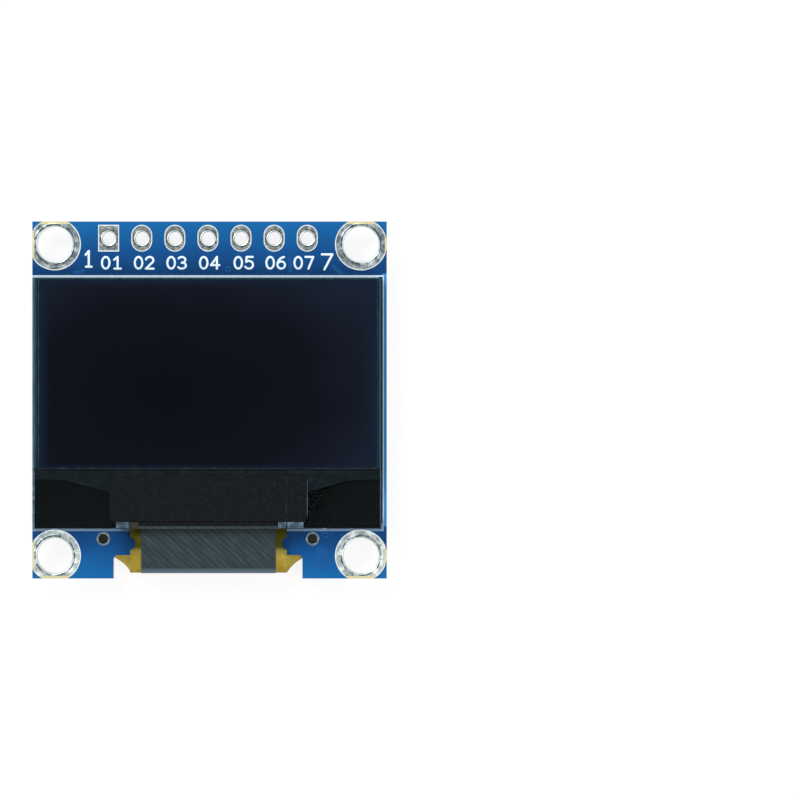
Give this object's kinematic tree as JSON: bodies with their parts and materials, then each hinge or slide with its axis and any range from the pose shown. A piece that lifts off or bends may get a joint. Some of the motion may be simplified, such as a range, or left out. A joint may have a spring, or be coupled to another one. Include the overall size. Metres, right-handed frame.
{
  "type": "small display module",
  "caption": "Small graphic display module: a dark glass panel bonded to a square blue circuit board, its flex tail folded through a notch and soldered to pads on the back.",
  "frame": {"origin": "centre of the four mounting holes, on the board's back face", "axes": "+Z leaves the board through the display, +Y points to the row of header holes, +X to the right as the display is read"},
  "size_m": [0.0272, 0.0274, 0.004],
  "materials": {
    "solder_mask": "blue solder mask on glass-fibre board",
    "tin": "tinned copper and solder",
    "black_foam": "black foam tape",
    "panel_glass": "thin display glass",
    "seal_resin": "cured resin",
    "desiccant": "white drying sheet",
    "emitter_film": "thin emitter and metal layers",
    "polariser_film": "dark polariser film",
    "silicon": "bare silicon",
    "black_tape": "black protective tape",
    "polyimide": "translucent amber film",
    "dark_film": "dark hatched film",
    "clear_adhesive": "clear adhesive film",
    "gold_copper": "copper seen through amber film",
    "moulding": "black moulding compound",
    "white_ink": "white printed ink",
    "capacitor_ceramic": "brown fired ceramic",
    "resistor_coat": "black coat on ceramic"
  },
  "bodies": {
    "root": {"printed_board": "solder_mask", "mounting_rings": "tin", "locating_rings": "tin", "header_pad_1": "tin", "header_pad_2": "tin", "header_pad_3": "tin", "header_pad_4": "tin", "header_pad_5": "tin", "header_pad_6": "tin", "header_pad_7": "tin", "panel_tape": "black_foam", "cap_glass": "panel_glass", "seal_frame": "seal_resin", "desiccant_sheet": "desiccant", "emitter_layer": "emitter_film", "front_glass": "panel_glass", "polariser": "polariser_film", "driver_chip": "silicon", "chip_tape": "black_tape", "flex_tail": "polyimide", "flex_guard_strip": "dark_film", "flex_adhesive": "clear_adhesive", "flex_pads": "tin", "solder_fingers": "tin", "flex_traces": "gold_copper", "bare_pads": "tin", "transistor_body": "moulding", "transistor_leads": "tin", "transistor_pads": "tin", "solder_joints": "tin", "silkscreen_back": "white_ink", "silkscreen_front": "white_ink", "capacitor_1": "capacitor_ceramic", "capacitor_1_ends": "tin", "capacitor_2": "capacitor_ceramic", "capacitor_2_ends": "tin", "capacitor_3": "capacitor_ceramic", "capacitor_3_ends": "tin", "capacitor_4": "capacitor_ceramic", "capacitor_4_ends": "tin", "capacitor_5": "capacitor_ceramic", "capacitor_5_ends": "tin", "capacitor_6": "capacitor_ceramic", "capacitor_6_ends": "tin", "capacitor_7": "capacitor_ceramic", "capacitor_7_ends": "tin", "resistor_1": "resistor_coat", "resistor_1_ends": "tin", "resistor_2": "resistor_coat", "resistor_2_ends": "tin", "resistor_3": "resistor_coat", "resistor_3_ends": "tin", "resistor_4": "resistor_coat", "resistor_4_ends": "tin", "resistor_5": "resistor_coat", "resistor_5_ends": "tin"}
  },
  "joints": []
}
